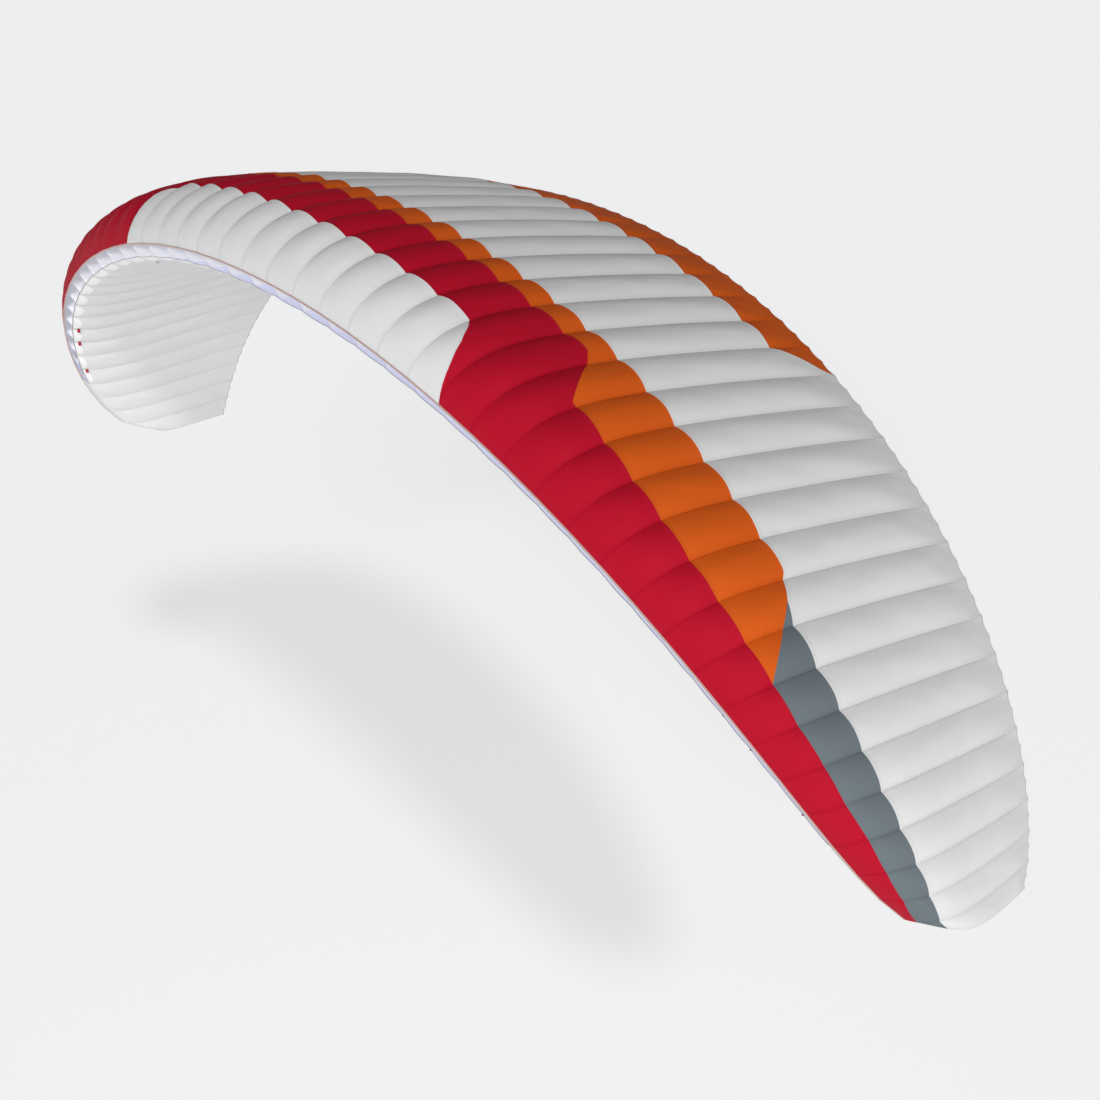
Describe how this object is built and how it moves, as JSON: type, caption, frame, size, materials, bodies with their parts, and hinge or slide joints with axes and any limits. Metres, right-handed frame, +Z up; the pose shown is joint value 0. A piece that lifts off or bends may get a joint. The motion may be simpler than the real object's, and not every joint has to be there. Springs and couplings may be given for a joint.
{
  "type": "paraglider wing",
  "caption": "Arched ram-air paraglider wing, sewn from cloth cells over internal ribs, open intakes along the leading edge, closed tips and webbing line tabs below.",
  "frame": {"origin": "on the under skin of the centre line, 30 percent of the centre chord behind the nose", "axes": "+X along the span towards the pilot's left tip, -Y the way the wing flies, +Z up"},
  "size_m": [9.5656, 2.7009, 3.1889],
  "materials": {
    "white_cloth": "coated ripstop nylon, satin",
    "under_cloth": "coated ripstop nylon, satin",
    "rib_cloth": "stiffer coated nylon, matt",
    "piping_tape": "sewn tape over a cord",
    "red_webbing": "woven webbing, matt",
    "white_webbing": "woven webbing, matt",
    "red_cloth": "coated ripstop nylon, satin",
    "orange_cloth": "coated ripstop nylon, satin",
    "slate_cloth": "coated ripstop nylon, satin",
    "seam_thread": "polyester thread"
  },
  "bodies": {
    "root": {"upper_bay_01": "white_cloth", "upper_bay_02": "white_cloth", "upper_bay_03": "white_cloth", "upper_bay_04": "white_cloth", "upper_bay_05": "white_cloth", "upper_bay_06": "white_cloth", "upper_bay_07": "white_cloth", "upper_bay_08": "white_cloth", "upper_bay_09": "white_cloth", "upper_bay_10": "white_cloth", "upper_bay_11": "white_cloth", "upper_bay_12": "white_cloth", "upper_bay_13": "white_cloth", "upper_bay_14": "white_cloth", "upper_bay_15": "white_cloth", "lower_bay_01": "under_cloth", "lower_bay_02": "under_cloth", "lower_bay_03": "under_cloth", "lower_bay_04": "under_cloth", "lower_bay_05": "under_cloth", "lower_bay_06": "under_cloth", "lower_bay_07": "under_cloth", "lower_bay_08": "under_cloth", "lower_bay_09": "under_cloth", "lower_bay_10": "under_cloth", "lower_bay_11": "under_cloth", "lower_bay_12": "under_cloth", "lower_bay_13": "under_cloth", "lower_bay_14": "under_cloth", "lower_bay_15": "under_cloth", "load_rib_01": "rib_cloth", "load_rib_02": "rib_cloth", "load_rib_03": "rib_cloth", "load_rib_04": "rib_cloth", "load_rib_05": "rib_cloth", "load_rib_06": "rib_cloth", "load_rib_07": "rib_cloth", "load_rib_08": "rib_cloth", "load_rib_09": "rib_cloth", "load_rib_10": "rib_cloth", "load_rib_11": "rib_cloth", "load_rib_12": "rib_cloth", "load_rib_13": "rib_cloth", "load_rib_14": "rib_cloth", "load_rib_15": "rib_cloth", "load_rib_16": "rib_cloth", "nose_piping": "piping_tape", "red_tab_right_1": "red_webbing", "red_tab_right_2": "red_webbing", "red_tab_right_3": "red_webbing", "line_tab_right_1": "white_webbing", "line_tab_right_2": "white_webbing", "line_tab_right_3": "white_webbing", "red_tab_left_1": "red_webbing", "red_tab_left_2": "red_webbing", "red_tab_left_3": "red_webbing", "line_tab_left_1": "white_webbing", "line_tab_left_2": "white_webbing", "line_tab_left_3": "white_webbing"}
  },
  "joints": []
}
